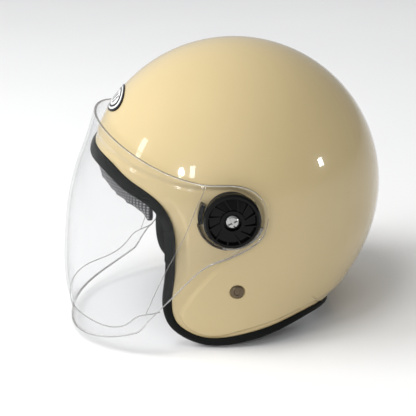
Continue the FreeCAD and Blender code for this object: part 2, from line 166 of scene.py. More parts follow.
def face_level(y, z):
    """How far the shell's outer face stands above or below the raised level."""
    step = smooth(0.5 + signed_distance(y, z, PANEL_LINE) / 1.8)
    border = signed_distance(y, z, EDGE_LINE)
    dip = smooth((19 - border) / 5) * smooth((30 - z) / 20) * smooth((z + 60) / 20)
    dip = dip * smooth((-25 - y) / 20)
    foot = np.exp(-((signed_distance(y, z, PANEL_LINE) + 2.2) / 0.9) ** 2)
    ridge = np.exp(-((signed_distance(y, z, PANEL_LINE) + 6.5) / 1.4) ** 2) * smooth((z - 36) / 8)
    return RECESS + (RAISED - RECESS) * step - 1.3 * dip - 0.45 * foot + 0.7 * ridge


# ---- mesh and material helpers -------------------------------------------------
def mesh_object(name, verts, faces, flat=False):
    mesh = bpy.data.meshes.new(name)
    world = (np.asarray(verts, float) + CENTRE) * MM
    mesh.from_pydata([tuple(v) for v in world], [], [tuple(f) for f in faces])
    mesh.validate()
    obj = bpy.data.objects.new(name, mesh)
    bpy.context.collection.objects.link(obj)
    work = bmesh.new()
    work.from_mesh(mesh)
    bmesh.ops.remove_doubles(work, verts=work.verts, dist=2e-6)
    bmesh.ops.recalc_face_normals(work, faces=work.faces)
    work.to_mesh(mesh)
    work.free()
    if not flat:
        mesh.shade_smooth()
    return obj


def grid_faces(rows, columns, start=0, wrap=False):
    i, j = np.meshgrid(np.arange(rows - 1), np.arange(columns - (not wrap)), indexing="ij")
    k = (j + 1) % columns
    a, b = start + i * columns + j, start + i * columns + k
    c, d = start + (i + 1) * columns + k, start + (i + 1) * columns + j
    return np.stack([a, b, c, d], -1).reshape(-1, 4)


def material(name):
    m = bpy.data.materials.new(name)
    m.use_nodes = True
    nodes, links = m.node_tree.nodes, m.node_tree.links
    return m, nodes, links, nodes["Principled BSDF"]


def noise(nodes, links, scale, detail=3.0, rough=0.5):
    coords = nodes.new("ShaderNodeTexCoord")
    n = nodes.new("ShaderNodeTexNoise")
    n.inputs["Scale"].default_value = scale
    n.inputs["Detail"].default_value = detail
    n.inputs["Roughness"].default_value = rough
    links.new(coords.outputs["Object"], n.inputs["Vector"])
    return n


def ramp(nodes, links, source, stops):
    r = nodes.new("ShaderNodeValToRGB")
    while len(r.color_ramp.elements) < len(stops):
        r.color_ramp.elements.new(0.5)
    for element, (place, colour) in zip(r.color_ramp.elements, stops):
        element.position, element.color = place, (*colour, 1)
    links.new(source, r.inputs[0])
    return r


def span(nodes, links, source, low, high, start=0.0, end=1.0):
    m = nodes.new("ShaderNodeMapRange")
    m.inputs["From Min"].default_value, m.inputs["From Max"].default_value = start, end
    m.inputs["To Min"].default_value, m.inputs["To Max"].default_value = low, high
    links.new(source, m.inputs["Value"])
    return m.outputs["Result"]


def bump(nodes, links, source, shader, strength, distance):
    b = nodes.new("ShaderNodeBump")
    b.inputs["Strength"].default_value = strength
    b.inputs["Distance"].default_value = distance
    links.new(source, b.inputs["Height"])
    links.new(b.outputs["Normal"], shader.inputs["Normal"])


def plastic(name, dark, light, low, high, scale=400.0, strength=0.05, depth=0.0002, coat=0.0,
            shine=0.5):
    """Moulded plastic, rubber or paint: two close tones, uneven gloss and fine grain."""
    m, nodes, links, shader = material(name)
    tone = noise(nodes, links, 14.0, 4)
    mix = ramp(nodes, links, tone.outputs["Fac"], [(0.3, dark), (0.7, light)])
    links.new(mix.outputs["Color"], shader.inputs["Base Color"])
    grain = noise(nodes, links, scale, 4)
    links.new(span(nodes, links, grain.outputs["Fac"], low, high, 0.3, 0.7),
              shader.inputs["Roughness"])
    bump(nodes, links, grain.outputs["Fac"], shader, strength, depth)
    shader.inputs["Coat Weight"].default_value = coat
    shader.inputs["Coat Roughness"].default_value = 0.03
    shader.inputs["Specular IOR Level"].default_value = shine
    return m


def metal(name, dark, light, low, high, scale=600.0):
    m = plastic(name, dark, light, low, high, scale, 0.04, 0.0001)
    m.node_tree.nodes["Principled BSDF"].inputs["Metallic"].default_value = 1.0
    return m


def woven(name, dark, light, pitch, strength=0.5, sheen=0.3):
    """Plain weave: two crossed sets of threads, each about `pitch` metres apart."""
    m, nodes, links, shader = material(name)
    coords = nodes.new("ShaderNodeTexCoord")
    waves = []
    for axis in ("X", "Z"):
        w = nodes.new("ShaderNodeTexWave")
        w.bands_direction = axis
        w.inputs["Scale"].default_value = 0.314 / pitch
        w.inputs["Distortion"].default_value = 0.4
        w.inputs["Detail"].default_value = 1.0
        links.new(coords.outputs["Object"], w.inputs["Vector"])
        waves.append(w.outputs["Fac"])
    both = nodes.new("ShaderNodeMath")
    both.operation = "MULTIPLY"
    links.new(waves[0], both.inputs[0])
    links.new(waves[1], both.inputs[1])
    colour = ramp(nodes, links, both.outputs[0], [(0.1, dark), (0.7, light)])
    links.new(colour.outputs["Color"], shader.inputs["Base Color"])
    fuzz = noise(nodes, links, 900.0, 2)
    links.new(span(nodes, links, fuzz.outputs["Fac"], 0.75, 0.95), shader.inputs["Roughness"])
    bump(nodes, links, both.outputs[0], shader, strength, 0.0004)
    shader.inputs["Sheen Weight"].default_value = sheen
    return m


def finish(obj, mat, body=None, node=None):
    obj.data.materials.clear()
    obj.data.materials.append(mat)
    if node:
        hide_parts(*([node] if isinstance(node, str) else node))
    if body:
        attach(obj, body)
    return obj


def repaint(names, mat):
    for name in names:
        obj = NODES[name]
        obj.data.materials.clear()
        obj.data.materials.append(mat)


def both(name):
    return [name + "_left", name + "_right"]


# ---- materials -----------------------------------------------------------------
def cream_paint():
    m, nodes, links, shader = material("cream_paint")
    tone = noise(nodes, links, 7.0, 3)
    mix = ramp(nodes, links, tone.outputs["Fac"],
               [(0.3, (0.560, 0.442, 0.232)), (0.7, (0.585, 0.462, 0.246))])
    links.new(mix.outputs["Color"], shader.inputs["Base Color"])
    peel = noise(nodes, links, 55.0, 2)
    links.new(span(nodes, links, peel.outputs["Fac"], 0.17, 0.24, 0.3, 0.7),
              shader.inputs["Roughness"])
    bump(nodes, links, peel.outputs["Fac"], shader, 0.04, 0.0006)
    shader.inputs["Specular IOR Level"].default_value = 0.2
    shader.inputs["Coat Weight"].default_value = 0.7
    shader.inputs["Coat Roughness"].default_value = 0.02
    shader.inputs["Coat IOR"].default_value = 1.55
    return m


def see_through(name, tint, gloss, edge_on, haze, body=0.0, body_colour=(0.8, 0.8, 0.8)):
    """Clear plastic wall: it tints what is behind it and shines more when seen edge-on."""
    m, nodes, links, shader = material(name)
    cloud = noise(nodes, links, 9.0, 3)
    clear = nodes.new("ShaderNodeBsdfTransparent")
    clear.inputs["Color"].default_value = (*tint, 1)
    shine = nodes.new("ShaderNodeBsdfGlossy")
    links.new(span(nodes, links, cloud.outputs["Fac"], haze * 0.5, haze, 0.3, 0.7),
              shine.inputs["Roughness"])
    facing = nodes.new("ShaderNodeLayerWeight")
    facing.inputs["Blend"].default_value = 0.5
    steep = nodes.new("ShaderNodeMath")
    steep.operation = "POWER"
    links.new(facing.outputs["Facing"], steep.inputs[0])
    steep.inputs[1].default_value = 6.0
    share = span(nodes, links, steep.outputs[0], gloss, edge_on)
    shader.inputs["Base Color"].default_value = (*body_colour, 1)
    shader.inputs["Roughness"].default_value = 0.3
    milky = nodes.new("ShaderNodeMixShader")
    links.new(span(nodes, links, cloud.outputs["Fac"], body * 0.7, body * 1.3, 0.3, 0.7),
              milky.inputs[0])
    links.new(clear.outputs[0], milky.inputs[1])
    links.new(shader.outputs[0], milky.inputs[2])
    blend = nodes.new("ShaderNodeMixShader")
    links.new(share, blend.inputs[0])
    links.new(milky.outputs[0], blend.inputs[1])
    links.new(shine.outputs[0], blend.inputs[2])
    links.new(blend.outputs[0], nodes["Material Output"].inputs["Surface"])
    return m


CREAM = cream_paint()
RUBBER = plastic("black_rubber", (0.004, 0.005, 0.004), (0.008, 0.009, 0.008), 0.42, 0.5,
                 500, 0.03, 0.0002, shine=0.06)
GLOSS_BLACK = plastic("gloss_black", (0.002, 0.002, 0.002), (0.004, 0.004, 0.004), 0.06, 0.12,
                      300, 0.03, 0.0001, shine=0.14)
MATTE_BLACK = plastic("matte_black", (0.012, 0.012, 0.012), (0.022, 0.022, 0.022), 0.45, 0.6,
                      1200, 0.2, 0.0002, shine=0.2)
FOAM = plastic("black_foam", (0.018, 0.018, 0.019), (0.040, 0.040, 0.042), 0.8, 0.95,
               260, 0.35, 0.0006)
STEEL = metal("bright_steel", (0.40, 0.40, 0.39), (0.54, 0.54, 0.53), 0.14, 0.26)
ZINC = metal("zinc_steel", (0.105, 0.080, 0.052), (0.175, 0.138, 0.095), 0.35, 0.5)
CLEAR = see_through("clear_visor", (0.972, 0.973, 0.975), 0.010, 0.7, 0.05, 0.003)
# The visor's rim faces are painted shade: a dark milky grey standing in for the dark edge seen
# through the wall's thickness.
RIM_PAINTED_SHADE = see_through("visor_rim_painted_shade", (0.42, 0.41, 0.40), 0.10, 0.6, 0.15, 0.35, (0.16, 0.15, 0.14))
# The visor's pale border band is a painted highlight: a milky light grey on the edge rows of
# faces.
RIM_PAINTED_HIGHLIGHT = see_through("visor_border_painted_highlight", (0.90, 0.90, 0.90), 0.10, 0.8, 0.10, 0.22,
                        (0.85, 0.85, 0.84))
# The fold beads carry painted shade: a grey, part milky tint that stands in for the refraction
# line along the visor's folds.
CREASE_PAINTED_SHADE = see_through("visor_crease_painted_shade", (0.70, 0.70, 0.69), 0.12, 0.7, 0.10, 0.15,
                     (0.60, 0.60, 0.58))
SMOKE = see_through("smoky_plastic", (0.80, 0.80, 0.79), 0.08, 0.5, 0.2, 0.5, (0.42, 0.42, 0.40))
# This brown is painted shade: the cream shell darkened, as it looks inside the gap beside the
# pivot base.
GROOVE_PAINTED_SHADE = plastic("groove_painted_shade", (0.060, 0.040, 0.018), (0.110, 0.075, 0.035), 0.4, 0.6)
WHITE = plastic("badge_white", (0.78, 0.78, 0.77), (0.84, 0.84, 0.83), 0.12, 0.2, coat=0.7)
LINING = woven("black_lining", (0.012, 0.012, 0.013), (0.036, 0.036, 0.038), 0.0011, 0.25)
MESH = woven("grey_mesh", (0.035, 0.035, 0.036), (0.36, 0.36, 0.37), 0.0024, 0.8)
WEBBING = woven("black_webbing", (0.010, 0.010, 0.011), (0.040, 0.040, 0.043), 0.0014, 0.7)
RED = woven("red_ribbon", (0.30, 0.010, 0.012), (0.52, 0.020, 0.022), 0.0009)

# ---- shell ---------------------------------------------------------------------
HUB_OF_GRID = np.array([10.0, 20.0])     # side-view middle of the shell's grid
SHELL_COLUMNS = 380


def boundary(angles):
    """Distance from the grid's middle to the shell's edge or to its centre plane."""
    out = np.empty(len(angles))
    a, d = EDGE_LINE[:-1] - HUB_OF_GRID, np.diff(EDGE_LINE, axis=0)
    for k, angle in enumerate(angles):
        ray = np.array([math.cos(angle), math.sin(angle)])
        b = HUB_OF_GRID @ ray
        circle = -b + math.sqrt(b * b - HUB_OF_GRID @ HUB_OF_GRID + HALF_LENGTH ** 2)
        cross = ray[0] * d[:, 1] - ray[1] * d[:, 0]
        s = (a[:, 0] * ray[1] - a[:, 1] * ray[0]) / cross
        r = (a[:, 0] * d[:, 1] - a[:, 1] * d[:, 0]) / cross
        hit = r[(s >= 0) & (s <= 1) & (r > 0)]
        out[k] = min(circle, hit.min()) if len(hit) else circle
    return out


def half_shell(rows, columns):
    angles = np.linspace(0, 2 * math.pi, columns, endpoint=False)
    limit = boundary(angles)
    q = np.sin(np.linspace(0.004, 1, rows) * math.pi / 2)[:, None]
    y = HUB_OF_GRID[0] + q * limit * np.cos(angles)
    z = HUB_OF_GRID[1] + q * limit * np.sin(angles)
    return y, z


def build_shell():
    y, z = half_shell(100, SHELL_COLUMNS)
    outer, _ = on_surface(y, z, face_level(y, z))
    verts, faces, start = [], [], 0
    pocket = np.hypot(y - RIVET[0], z - RIVET[1]) < 9.6
    quads = grid_faces(*y.shape, 0, True)
    quads = quads[~pocket.ravel()[quads].all(1)]
    for sign in (1, -1):
        verts.append(outer.reshape(-1, 3) * (sign, 1, 1))
        faces.append(quads + start)
        start += y.size
    yi, zi = half_shell(14, SHELL_COLUMNS)
    inner, _ = on_surface(yi, zi, np.full(yi.shape, INSIDE))
    rim = np.stack([np.arange(SHELL_COLUMNS), (np.arange(SHELL_COLUMNS) + 1) % SHELL_COLUMNS], -1)
    for k, sign in enumerate((1, -1)):
        verts.append(inner.reshape(-1, 3) * (sign, 1, 1))
        faces.append(grid_faces(*yi.shape, start, True))
        top = k * y.size + (y.shape[0] - 1) * SHELL_COLUMNS
        low = start + (yi.shape[0] - 1) * SHELL_COLUMNS
        open_edge = outer[-1, :, 0] > 1.0
        use = open_edge[rim].any(1)
        faces.append(np.stack([rim[use, 0] + top, rim[use, 1] + top,
                               rim[use, 1] + low, rim[use, 0] + low], -1))
        start += yi.size
    count = 56
    around = np.linspace(0, 2 * math.pi, count, endpoint=False)
    rings = [(11.5, 0.03, None), (9.8, 0.03, None), (8.2, 0.02, None), (7.3, 0, None),
             (6.9, -0.12, None), (6.6, -0.6, None), (6.6, 0, RIVET_FLOOR), (3.0, 0, RIVET_FLOOR)]
    for sign in (1, -1):
        ring_verts = []
        for radius, lift, floor in rings:
            ry, rz = RIVET[0] + radius * np.cos(around), RIVET[1] + radius * np.sin(around)
            p, _ = on_surface(ry, rz, face_level(ry, rz) + lift)
            if floor is not None:
                p[:, 0] = np.minimum(p[:, 0] - 0.6, floor)
            ring_verts.append(p * (sign, 1, 1))
        verts.append(np.concatenate(ring_verts))
        faces.append(grid_faces(len(rings), count, start, True))
        start += len(rings) * count
    return mesh_object("shell_skin", np.concatenate(verts), np.concatenate(faces).tolist())


finish(build_shell(), CREAM, "helmet", "outer_shell")

# ---- rubber trim ---------------------------------------------------------------
TRIM_WIDTH = [(-150, 9.5), (-111, 9.5), (-101, 9.0), (-87, 8.0), (-72, 6.9), (-60, 6.8),
              (100, 6.8)]


def trim_path(count):
    """Evenly spaced stations of the left half of the shell's edge."""
    inside = np.hypot(*EDGE_LINE.T) < HALF_LENGTH - 0.02
    inside |= (EDGE_LINE[:, 0] < 60) & (EDGE_LINE[:, 1] < 30)
    path = EDGE_LINE[inside]
    ends = []
    for near, far in ((path[0], EDGE_LINE[inside.argmax() - 1]),
                      (path[-1], EDGE_LINE[len(inside) - inside[::-1].argmax()])):
        lo, hi = 0.0, 1.0
        for _ in range(40):
            mid = (lo + hi) / 2
            if np.hypot(*(near + (far - near) * mid)) < HALF_LENGTH:
                lo = mid
            else:
                hi = mid
        tip = near + (far - near) * lo
        ends.append([near + (tip - near) * (1 - (1 - k / 12) ** 2) for k in range(1, 13)])
    path = np.concatenate([ends[0][::-1], path, ends[1]])
    p, _ = on_surface(path[:, 0], path[:, 1], np.full(len(path), RECESS))
    run = np.concatenate([[0], np.cumsum(np.linalg.norm(np.diff(p, axis=0), axis=1))])
    even = np.linspace(0, run[-1], count)
    return np.stack([np.interp(even, run, path[:, k]) for k in (0, 1)], -1)


def build_trim():
    path = trim_path(330)
    p, normal = on_surface(path[:, 0], path[:, 1], np.full(len(path), RECESS))
    p[[0, -1], 0] = 0
    tangent = np.gradient(p, axis=0)
    tangent[[0, -1]] = (1, 0, 0)
    tangent[-1] = (-1, 0, 0)
    tangent /= np.linalg.norm(tangent, axis=1, keepdims=True)
    normal[[0, -1], 0] = 0
    across = np.cross(normal, tangent)
    across /= np.linalg.norm(across, axis=1, keepdims=True)
    middle = len(path) // 2
    if across[middle] @ np.array([0, 1, 0]) < 0:
        across = -across
    width = np.interp(path[:, 0], *np.array(TRIM_WIDTH).T)
    width = np.where(path[:, 1] < -30, 6.8, width)
    profile = [(1, 0, 0.15), (1, -0.2, 0.75), (1, -0.8, 1.45), (1, -1.8, 2.0), (0.55, 0, 2.5),
               (0.25, 0, 2.6), (0, 0, 2.45), (0, -1.3, 1.9), (0, -2.1, 0.8), (0, -2.4, -0.9),
               (0, -2.4, -3.0), (0, -2.0, -4.6), (0, -1.2, -5.7), (0, 0, -6.3),
               (0.5, 0, -6.5), (1, -0.6, -6.3), (1, 0, -5.4), (1, 0, -4.1), (0, 0.2, -4.05),
               (0, 0.2, 0.05)]
    verts, faces, start = [], [], 0
    rows = []
    for share, b, n in profile:
        rows.append(p + across * (width * share + b)[:, None] + normal * n)
    ring = np.stack(rows, 1)
    for sign in (1, -1):
        verts.append(ring.reshape(-1, 3) * (sign, 1, 1))
        faces.append(grid_faces(len(path), len(profile), start, True))
        start += ring.shape[0] * ring.shape[1]
    return mesh_object("trim_skin", np.concatenate(verts), np.concatenate(faces).tolist())


finish(build_trim(), RUBBER, "helmet", "edge_trim")

# ---- visor ---------------------------------------------------------------------
VISOR_MIDDLE_Y = PIVOT[0] + 60
FRONT_LINE = spline(VISOR_FRONT)[::-1]
FOLD_LINE, LIP_FOLD_LINE = spline(FOLD), spline(LIP_FOLD)


def rising(points):
    """The line's samples in order of y, up to its rearmost point, for looking z up by y."""
    rearmost = points[:, 0].argmax()
    if points[0, 0] < points[-1, 0]:
        line = points[:rearmost + 1]
    else:
        line = points[rearmost:][::-1]
    return line[np.argsort(line[:, 0], kind="stable")]


UPPER_LINE = rising(spline(VISOR_UPPER))
LOWER_LINE = rising(np.concatenate([spline(VISOR_LOWER), spline(VISOR_LIP)]))


def visor_point(turn, z):
    """Middle of the visor's wall; turn is 0 in front and 90 degrees at the pivots."""
    reach = PIVOT[0] - np.interp(z, FRONT_LINE[:, 1], FRONT_LINE[:, 0])
    half = EAR_X - EAR_TAPER * smooth(np.abs(z - PIVOT[1]) / 90)
    power = 2 + 0.35 * smooth((50 - z) / 70)
    across = (np.abs(np.sin(turn)) / half) ** power
    along = (np.maximum(0, np.cos(turn)) / reach) ** power
    radius = (across + along) ** (-1 / power)
    x, y = radius * np.sin(turn), PIVOT[0] - radius * np.cos(turn)
    flatten = 1 - smooth((np.hypot(y - PIVOT[0], z - PIVOT[1]) - FLAT_RADIUS) / 18)
    x = np.where(np.abs(np.sin(turn)) > 0.5, x + (np.copysign(EAR_X, x) - x) * flatten, x)
    return np.stack([x, y, z], -1)


def from_middle(points):
    """Level direction out from a line behind the pivots, to tell outward from inward."""
    out = points - np.array([0, VISOR_MIDDLE_Y, 0])
    out[..., 2] = 0
    return out


def crossing(turn, line, inside, outside):
    """Height where each column of the visor meets an outline, found by halving."""
    near, far = np.full(len(turn), inside), np.full(len(turn), outside)
    for _ in range(40):
        mid = (near + far) / 2
        limit = np.interp(visor_point(turn, mid)[:, 1], line[:, 0], line[:, 1])
        beyond = (mid > limit) if outside > inside else (mid < limit)
        far, near = np.where(beyond, mid, far), np.where(beyond, near, mid)
    return (near + far) / 2


def build_visor(rows=104, columns=241):
    last = math.pi / 2 + math.atan((UPPER_LINE[-1, 0] - PIVOT[0] - 0.05) / EAR_X)
    turn = last * np.sin(np.linspace(-math.pi / 2, math.pi / 2, columns))
    top, low = crossing(turn, UPPER_LINE, 7.0, 100.0), crossing(turn, LOWER_LINE, 7.0, -125.0)
    lip = np.minimum(1.0, 0.3 * (top - low))
    share = np.linspace(0, 1, rows - 2)[:, None]
    z = np.concatenate([[low], low + lip + (top - low - 2 * lip) * share, [top]])
    turns = np.broadcast_to(turn, z.shape)
    here, e = visor_point(turns, z), 1e-4
    normal = np.cross(visor_point(turns + e, z) - visor_point(turns - e, z),
                      visor_point(turns, z + e * 60) - visor_point(turns, z - e * 60))
    normal /= np.linalg.norm(normal, axis=-1, keepdims=True)
    normal *= np.sign((normal * from_middle(here)).sum(-1, keepdims=True))
    from_fold = signed_distance(here[..., 1], z, FOLD_LINE)
    from_lip = signed_distance(here[..., 1], z, LIP_FOLD_LINE)
    lift = 0.45 * np.exp(-(from_fold / 0.9) ** 2) + 0.8 * smooth(0.5 - from_lip / 2.2)
    lift = lift + 0.5 * np.exp(-((from_lip + 1.0) / 0.8) ** 2)
    verts, faces, kinds = [], [], []
    quads = grid_faces(rows, columns)
    centre = here.reshape(-1, 3)[quads].mean(1)
    hole = np.hypot(centre[:, 1] - PIVOT[0], centre[:, 2] - PIVOT[1]) < PIVOT_HOLE
    row = quads[:, 0] // columns
    border = (row == 0) | (row == rows - 2)
    # Edge rows use material 2, the border band with a painted highlight.
    for k, out in enumerate((VISOR_WALL / 2, -VISOR_WALL / 2)):
        verts.append((here + normal * (lift + out)[..., None]).reshape(-1, 3))
        faces.append(quads[~hole] + k * here.size // 3)
        kinds.append(np.where(border, 2, 0)[~hole])
    count = here.size // 3
    # Rounded rim faces along both edges, in the rim material with painted shade.
    for edge, inward in ((0, 1), (rows - 1, rows - 2)):
        away = here[edge] - here[inward]
        away /= np.linalg.norm(away, axis=-1, keepdims=True)
        mid = here[edge] + normal[edge] * lift[edge][:, None] + away * 0.45
        start = sum(len(v) for v in verts)
        verts.append(mid)
        a = np.arange(columns - 1) + edge * columns
        m = np.arange(columns - 1) + start
        for b in (a, a + count):
            faces.append(np.stack([b, b + 1, m + 1, m], -1))
            kinds.append(np.ones(columns - 1, int))
    visor = mesh_object("visor_screen", np.concatenate(verts), np.concatenate(faces).tolist())
    kind = np.concatenate(kinds)
    for mat in (CLEAR, RIM_PAINTED_SHADE, RIM_PAINTED_HIGHLIGHT):
        visor.data.materials.append(mat)
    visor.data.polygons.foreach_set("material_index", kind[:len(visor.data.polygons)])
    return visor


def visor_over(y, z):
    """Point of the visor's left half over side-view places, found by halving the turn."""
    low, high = np.zeros(len(y)), np.full(len(y), math.radians(112))
    for _ in range(40):
        turn = (low + high) / 2
        behind = visor_point(turn, z)[:, 1] > y
        low, high = np.where(behind, low, turn), np.where(behind, turn, high)
    return visor_point(turn, z)


def bead(name, line, radius, mat, stretch=1.0):
    """Thin moulded line following points on the visor's outer face."""
    along = np.gradient(line, axis=0)
    along /= np.linalg.norm(along, axis=1, keepdims=True)
    out = from_middle(line)
    out -= along * (out * along).sum(1, keepdims=True)
    out /= np.linalg.norm(out, axis=1, keepdims=True)
    wide = np.cross(along, out)
    verts = []
    for k in range(len(line)):
        for a in np.linspace(0, 2 * math.pi, 9)[:-1]:
            lift = out[k] * (VISOR_WALL / 2 + radius * math.sin(a))
            verts.append(line[k] + lift + wide[k] * radius * stretch * math.cos(a))
    obj = mesh_object(name, verts, grid_faces(len(line), 8, 0, True).tolist())
    finish(obj, mat, "visor")


def build_folds():
    # The beads' raised shape is real; their grey tint is painted shade along the folds.
    turn = np.radians(np.linspace(-58, 58, 161))
    z = crossing(turn, LIP_FOLD_LINE, 7.0, -125.0)
    bead("visor_lip_fold", visor_point(turn, z), 0.42, CREASE_PAINTED_SHADE, 1.2)
    side = visor_over(FOLD_LINE[:, 0], FOLD_LINE[:, 1])
    bead("visor_fold_left", side, 0.34, CREASE_PAINTED_SHADE)
    bead("visor_fold_right", side * (-1, 1, 1), 0.34, CREASE_PAINTED_SHADE)


build_folds()
visor = build_visor()
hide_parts("visor")
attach(visor, "visor")

# ---- badge ---------------------------------------------------------------------
def build_badge():
    """Oval badge of black and white rings with a plain slanted-bar device."""
    tilt = math.radians(BADGE_TILT)
    out = np.array([0, -math.cos(tilt), math.sin(tilt)])
    up = np.array([0, math.sin(tilt), math.cos(tilt)])
    around = np.linspace(0, 2 * math.pi, 97)[:-1]
    rings = np.array([0.04, 0.12, 0.2, 0.28, 0.36, 0.44, 0.52, 0.58, 0.60, 0.74, 0.76, 0.84,
                      0.86, 0.96, 0.975, 1.0, 1.0])
    lifts = np.array([0.95] * 15 + [0.8, 0.02])
    a = BADGE_HALF_WIDTH * rings[:, None] * np.cos(around)
    b = BADGE_HALF_HEIGHT * rings[:, None] * np.sin(around)
    t = np.sqrt(HALF_LENGTH ** 2 * (1 - (a / HALF_WIDTH) ** 2) - b ** 2)
    p = a[..., None] * (1, 0, 0) + b[..., None] * up + t[..., None] * out
    normal = p / (HALF_WIDTH ** 2, HALF_LENGTH ** 2, HALF_LENGTH ** 2)
    normal /= np.linalg.norm(normal, axis=-1, keepdims=True)
    p = p + normal * lifts[:, None, None]
    faces = grid_faces(len(rings), len(around), 0, True)
    badge = mesh_object("badge_oval", p.reshape(-1, 3), faces.tolist() + [list(range(96))])
    black = {8: 1, 9: 0, 12: 1, 13: 1, 14: 1, 15: 1}
    kind = []
    for k, face in enumerate(faces):
        ring = k // len(around)
        x, y = a.ravel()[face].mean(), b.ravel()[face].mean()
        bar = abs(y) < 4.6 and (x - 0.45 * y) % 7.0 < 3.0 and abs(x) < 13
        kind.append(black.get(ring, 0) if ring > 7 else int(bar))
    badge.data.materials.append(WHITE)
    badge.data.materials.append(GLOSS_BLACK)
    kind.append(0)
    badge.data.polygons.foreach_set("material_index", kind[:len(badge.data.polygons)])
    return badge


badge = build_badge()
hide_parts("front_badge")
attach(badge, "helmet")


# ---- details around the pivots -------------------------------------------------
def ring_sector(name, side, inner, outer, start, end, low, high, mat, teeth=0):
    """Raised rib around a pivot; angles in degrees up from the rear."""
    steps = max(24, teeth * 8)
    angle = np.radians(np.linspace(start, end, steps))
    ripple = 0.7 * (np.arange(steps) % 8 < 4) if teeth else np.zeros(steps)
    section = [(inner, low), (inner, high - 0.4), (inner + 0.4, high), (outer - 0.4, high),
               (outer, high - 0.4), (outer, low)]
    verts = []
    for a, bite in zip(angle, ripple):
        for k, (r, x) in enumerate(section):
            r = r + (bite if k < 2 else 0)
            verts.append((side * x, PIVOT[0] + r * math.cos(a), PIVOT[1] + r * math.sin(a)))
    n = len(section)
    faces = grid_faces(steps, n, 0, True).tolist()
    faces += [list(range(n)), list(range(n * steps - n, n * steps))]
    return finish(mesh_object(name, verts, faces, flat=True), mat, "helmet")


for side, word in ((1, "left"), (-1, "right")):
    ring_sector("pivot_stop_" + word, side, 24.4, 28.2, 148, 186, 108.5, 118.2, GLOSS_BLACK)
    # A brown rib stands in for the shaded gap at the lower rear of the pivot base: painted shade,
    # not a brown part.
    ring_sector("pivot_gap_painted_shade_" + word, side, 28.0, 29.4, 188, 258, 107.5, 117.2, GROOVE_PAINTED_SHADE)
    ring_sector("detent_teeth_" + word, side, 24.3, 28.4, 250, 300, 109, 118.2, SMOKE, 9)
    ring_sector("detent_band_" + word, side, 24.4, 28.6, 301, 336, 109, 118.0, SMOKE)


# ---- swept straps and sleeves --------------------------------------------------
def sweep(name, path, section, side=1):
    """Sweep (across, thickness) section points along an (x, z) path at the strap's y."""
    line = spline(path, 14)
    along = np.gradient(line, axis=0)
    along /= np.linalg.norm(along, axis=1, keepdims=True)
    verts = []
    for (x, z), (dx, dz) in zip(line, along):
        for y, t in section:
            verts.append((side * (x - dz * t), RIVET[0] + y, z + dx * t))
    faces = grid_faces(len(line), len(section), 0, True).tolist()
    n = len(section)
    faces += [list(range(n)), list(range(n * len(line) - n, n * len(line)))]
    return mesh_object(name, verts, faces)


def band_section(width, wall, ribs, selvedge=0.12):
    """Webbing's cross-section, with shallow ribs and a thicker woven edge."""
    across = np.linspace(-width / 2, width / 2, ribs * 4 + 1)
    thick = wall / 2 - 0.05 + 0.05 * np.cos(across * 2 * math.pi * ribs / width)
    thick = thick + selvedge * (np.abs(across) > width / 2 - 2.2) - 0.1
    upper = list(zip(across, thick))
    lower = list(zip(across[::-1], -thick[::-1]))
    return [(-width / 2 - 0.25, 0)] + upper + [(width / 2 + 0.25, 0)] + lower


def build_strap(word, side):
    strap = sweep("webbing_" + word, STRAP_PATH, band_section(STRAP_WIDTH, STRAP_WALL, 12), side)
    finish(strap, WEBBING, "chin_strap", "strap_" + word)
    loop_path = [(ANCHOR_X - 1.3, -79.0), (ANCHOR_X - 1.4, -74.5), (ANCHOR_X, -73.2),
                 (ANCHOR_X + 1.3, -74.5), (ANCHOR_X + 1.2, -79.0), (ANCHOR_X, -79.6)]
    loop = sweep("webbing_loop_" + word, loop_path, band_section(20.0, 0.9, 9, 0.05), side)
    finish(loop, WEBBING, "chin_strap")


def build_sleeve(word, side):
    """Soft crowned tube of lining fabric around the strap."""
    path = [p for p in STRAP_PATH if 40 < p[0] < 86]
    angle = np.linspace(0, 2 * math.pi, 49)[:-1]
    line = spline(path, 14)
    along = np.gradient(line, axis=0)
    along /= np.linalg.norm(along, axis=1, keepdims=True)
    run = np.linspace(-1, 1, len(line))
    verts = []
    for layer, (half, wall) in enumerate(((14.6, 2.9), (12.9, 1.05))):
        for k, ((x, z), (dx, dz)) in enumerate(zip(line, along)):
            swell = (1 - run[k] ** 8) ** 0.5 if layer == 0 else 1.0
            tuck = 0.25 * (math.cos(run[k] * 26) - 1) if layer == 0 else 0.0
            for a in angle:
                y = half * math.copysign(abs(math.cos(a)) ** 0.35, math.cos(a))
                t = (wall * (0.45 + 0.55 * swell) + tuck) * math.copysign(
                    abs(math.sin(a)) ** 0.6, math.sin(a))
                verts.append((side * (x - dz * t), RIVET[0] + y, z + dx * t))
    n = len(line) * len(angle)
    faces = grid_faces(len(line), len(angle), 0, True).tolist()
    faces += grid_faces(len(line), len(angle), n, True).tolist()
    for first in (0, n - len(angle)):
        for j in range(len(angle)):
            k = (j + 1) % len(angle)
            faces.append([first + j, first + k, first + n + k, first + n + j])
    sleeve = mesh_object("sleeve_pad_" + word, verts, faces)
    finish(sleeve, LINING, "chin_strap", "strap_sleeve_" + word)


def build_tab():
    """Short ribbon loop on the lever's end, slightly waved and sewn near the lever."""
    path = [(-24 + 17.2 * t, BUCKLE_Z - 7.0 + 0.25 * math.sin(t * 7))
            for t in (0, 0.2, 0.4, 0.6, 0.8, 1)]
    tab = sweep("pull_ribbon", path, band_section(11.6, 1.1, 8, 0.08))
    finish(tab, RED, "lever", "pull_tab")


for side, word in ((1, "left"), (-1, "right")):
    build_strap(word, side)
    build_sleeve(word, side)
build_tab()


